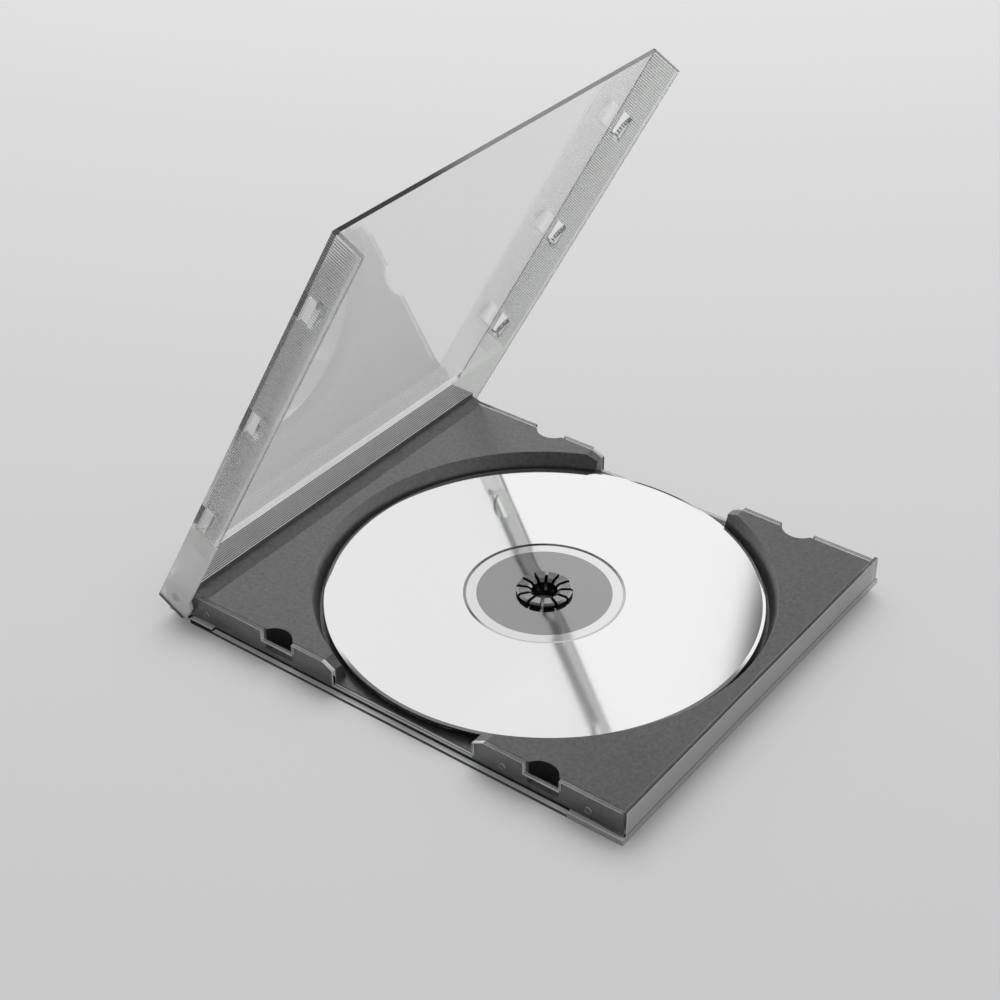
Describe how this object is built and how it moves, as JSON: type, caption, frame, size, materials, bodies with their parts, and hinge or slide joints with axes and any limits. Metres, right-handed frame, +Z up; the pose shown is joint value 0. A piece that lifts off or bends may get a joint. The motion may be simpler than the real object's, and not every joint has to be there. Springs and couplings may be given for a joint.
{
  "type": "cd jewel case",
  "caption": "Hinged clear plastic disc case standing open, with a dark tray, a sprung hub rosette and a blank silver disc in its well.",
  "frame": {"origin": "centre of the back cover's underside, on the surface it lies on", "axes": "+X from the hinge spine to the opening side, +Y along the hinge, +Z up"},
  "size_m": [0.1511, 0.1264, 0.1364],
  "materials": {
    "clear_back": "clear polished polystyrene",
    "clear_front": "clear polished polystyrene",
    "tray": "fine satin texture",
    "disc": "silver mirror layer under clear plastic"
  },
  "bodies": {
    "base": {"back_cover": "clear_back", "disc_tray": "tray", "disc": "disc"},
    "cover": {"front_cover": "clear_front"}
  },
  "joints": [
    {"name": "cover_hinge", "type": "hinge", "parent": "base", "child": "cover", "pos_m": [-0.0706, 0, 0.0063], "axis": [0, -1, 0], "range_deg": [-61.8, 118]}
  ]
}
